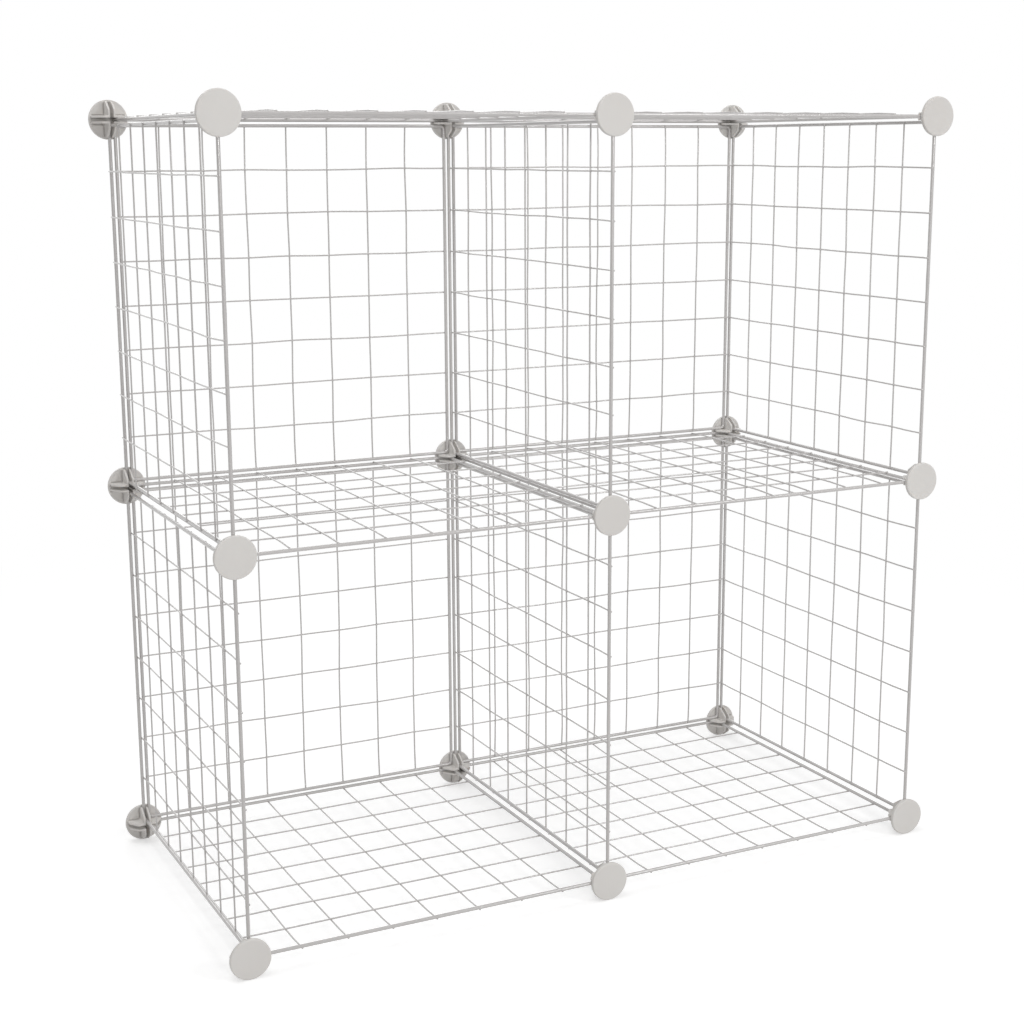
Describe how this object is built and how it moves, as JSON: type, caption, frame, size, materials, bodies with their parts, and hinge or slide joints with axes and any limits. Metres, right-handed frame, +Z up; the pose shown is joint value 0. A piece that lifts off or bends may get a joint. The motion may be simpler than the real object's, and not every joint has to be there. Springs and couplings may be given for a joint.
{
  "type": "cube storage unit",
  "caption": "Modular wire storage unit: square open-fronted cubes made of welded wire grid panels, held at their corners by round slotted plastic connectors.",
  "frame": {"origin": "on the floor under the middle of the unit", "axes": "+Z up, the open fronts of the cubes face -Y, +X to the right seen from the front"},
  "size_m": [0.764, 0.3628, 0.764],
  "materials": {
    "wire": "satin light grey powder coat over steel wire",
    "connector": "frosted, slightly translucent moulded plastic"
  },
  "bodies": {
    "root": {"back_panel_lower_left": "wire", "back_panel_lower_right": "wire", "back_panel_upper_left": "wire", "back_panel_upper_right": "wire", "left_side_panel_lower": "wire", "left_side_panel_upper": "wire", "right_side_panel_lower": "wire", "right_side_panel_upper": "wire", "divider_panel_lower": "wire", "divider_panel_upper": "wire", "bottom_panel_left": "wire", "bottom_panel_right": "wire", "shelf_panel_left": "wire", "shelf_panel_right": "wire", "top_panel_left": "wire", "top_panel_right": "wire", "front_connector_bottom_left": "connector", "front_connector_bottom_middle": "connector", "front_connector_bottom_right": "connector", "front_connector_middle_left": "connector", "front_connector_centre": "connector", "front_connector_middle_right": "connector", "front_connector_top_left": "connector", "front_connector_top_middle": "connector", "front_connector_top_right": "connector", "rear_connector_bottom_left": "connector", "rear_connector_bottom_middle": "connector", "rear_connector_bottom_right": "connector", "rear_connector_middle_left": "connector", "rear_connector_centre": "connector", "rear_connector_middle_right": "connector", "rear_connector_top_left": "connector", "rear_connector_top_middle": "connector", "rear_connector_top_right": "connector"}
  },
  "joints": []
}
